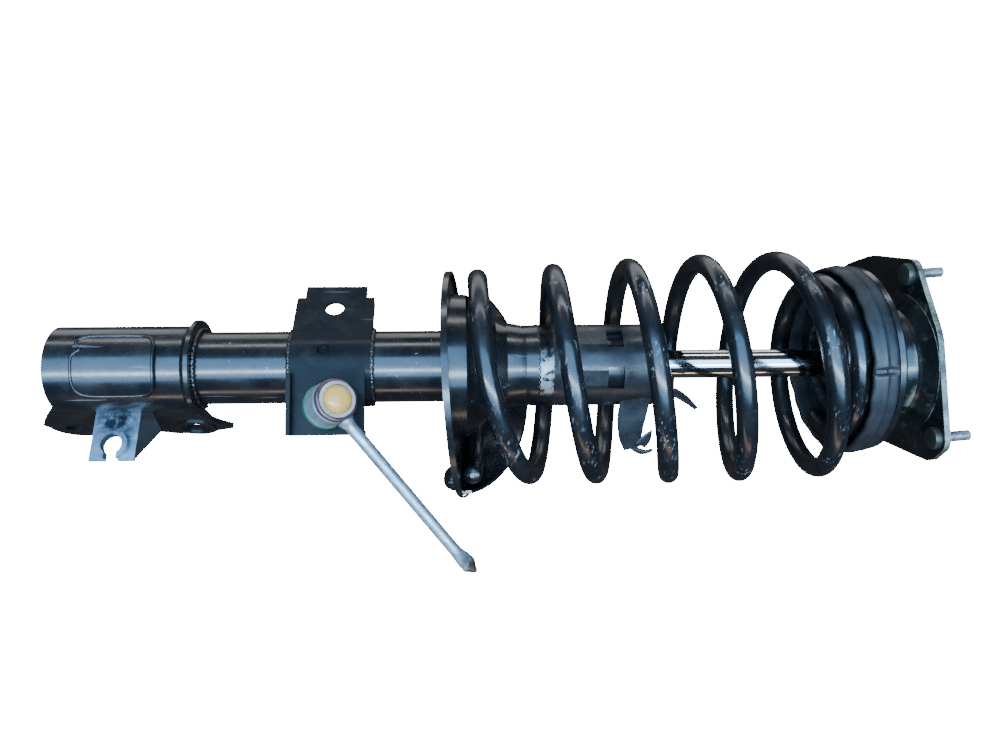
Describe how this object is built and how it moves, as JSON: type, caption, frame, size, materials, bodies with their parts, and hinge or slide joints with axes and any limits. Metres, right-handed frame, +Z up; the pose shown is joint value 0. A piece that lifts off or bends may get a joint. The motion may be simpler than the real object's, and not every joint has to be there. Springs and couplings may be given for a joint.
{
  "type": "strut assembly",
  "caption": "Front suspension strut with coil spring, three-stud top mount, clevis knuckle bracket and a stabiliser link whose far end is cut off.",
  "frame": {"origin": "centre of the top mount plate's upper seating face, on the damper axis", "axes": "+Z up along the damper rod, +X outboard, the way the knuckle bracket's ears point"},
  "size_m": [0.1764, 0.2611, 0.695],
  "materials": {
    "black_paint": "gloss black paint, worn and dusty",
    "spring_coat": "satin black epoxy coat, scuffed on the crests",
    "black_rubber": "aged black rubber",
    "green_ring": "moulded green ring",
    "foam": "dark microcellular foam",
    "black_plastic": "moulded black plastic",
    "chrome_rod": "ground and chromed",
    "bare_steel": "machined steel",
    "zinc": "dull zinc plate",
    "ring_plastic": "off-white plastic",
    "yellow_cap": "yellow moulded cap"
  },
  "bodies": {
    "top_mount": {"mount_plate": "black_paint", "mount_stud_1": "zinc", "mount_stud_2": "zinc", "mount_stud_3": "zinc", "mount_rubber": "black_rubber", "mount_core": "bare_steel", "bearing_outer_race": "bare_steel"},
    "rod": {"bearing_inner_race": "bare_steel", "bearing_balls": "bare_steel", "rod_spacer": "bare_steel", "rod_washer": "bare_steel", "rod_nut": "bare_steel", "seat_retainer": "black_paint", "upper_spring_seat": "black_paint", "upper_insulator": "black_rubber", "piston_rod": "chrome_rod", "bump_stop_cup": "black_paint", "bump_stop": "foam", "piston": "bare_steel", "piston_ring": "ring_plastic", "piston_nut": "bare_steel", "rebound_stop": "bare_steel", "coil_spring": "spring_coat"},
    "tube": {"strut_tube": "black_paint", "base_cup": "bare_steel", "inner_tube": "bare_steel", "base_valve": "bare_steel", "rod_guide": "bare_steel", "guide_bush": "bare_steel", "rod_seal": "black_rubber", "tube_cap": "black_paint", "hub_ring": "bare_steel", "dust_cover": "black_plastic", "lower_spring_seat": "black_paint", "knuckle_bracket": "black_paint", "hose_bracket": "zinc", "hose_gusset": "black_paint", "link_bracket": "black_paint", "link_ball_stud": "zinc", "link_nut": "zinc", "link_boot": "black_rubber"},
    "link_seat": {"link_socket": "ring_plastic"},
    "link": {"link_housing": "zinc", "link_cap_ring": "ring_plastic", "link_cap": "yellow_cap", "boot_ring": "green_ring", "link_rod": "zinc"}
  },
  "joints": [
    {"name": "steer", "type": "hinge", "parent": "top_mount", "child": "rod", "pos_m": [0, 0, 0], "axis": [-0.0261, 0.0647, 0.9976], "range_deg": [-40, 40]},
    {"name": "stroke", "type": "slide", "parent": "rod", "child": "tube", "axis": [0, 0, 1], "range_m": [0, 0.12], "stiffness_N_per_m": 25000, "springref_m": -0.03, "deforming": ["coil_spring"]},
    {"name": "link_swing", "type": "hinge", "parent": "tube", "child": "link_seat", "pos_m": [-0.04336, -0.04468, -0.435], "axis": [-0.9613, -0.2756, 0], "range_deg": [-75, 2]},
    {"name": "link_tilt", "type": "hinge", "parent": "link_seat", "child": "link", "pos_m": [-0.04336, -0.04468, -0.435], "axis": [-0.2654, 0.9257, -0.2694], "range_deg": [-60, 0]}
  ]
}
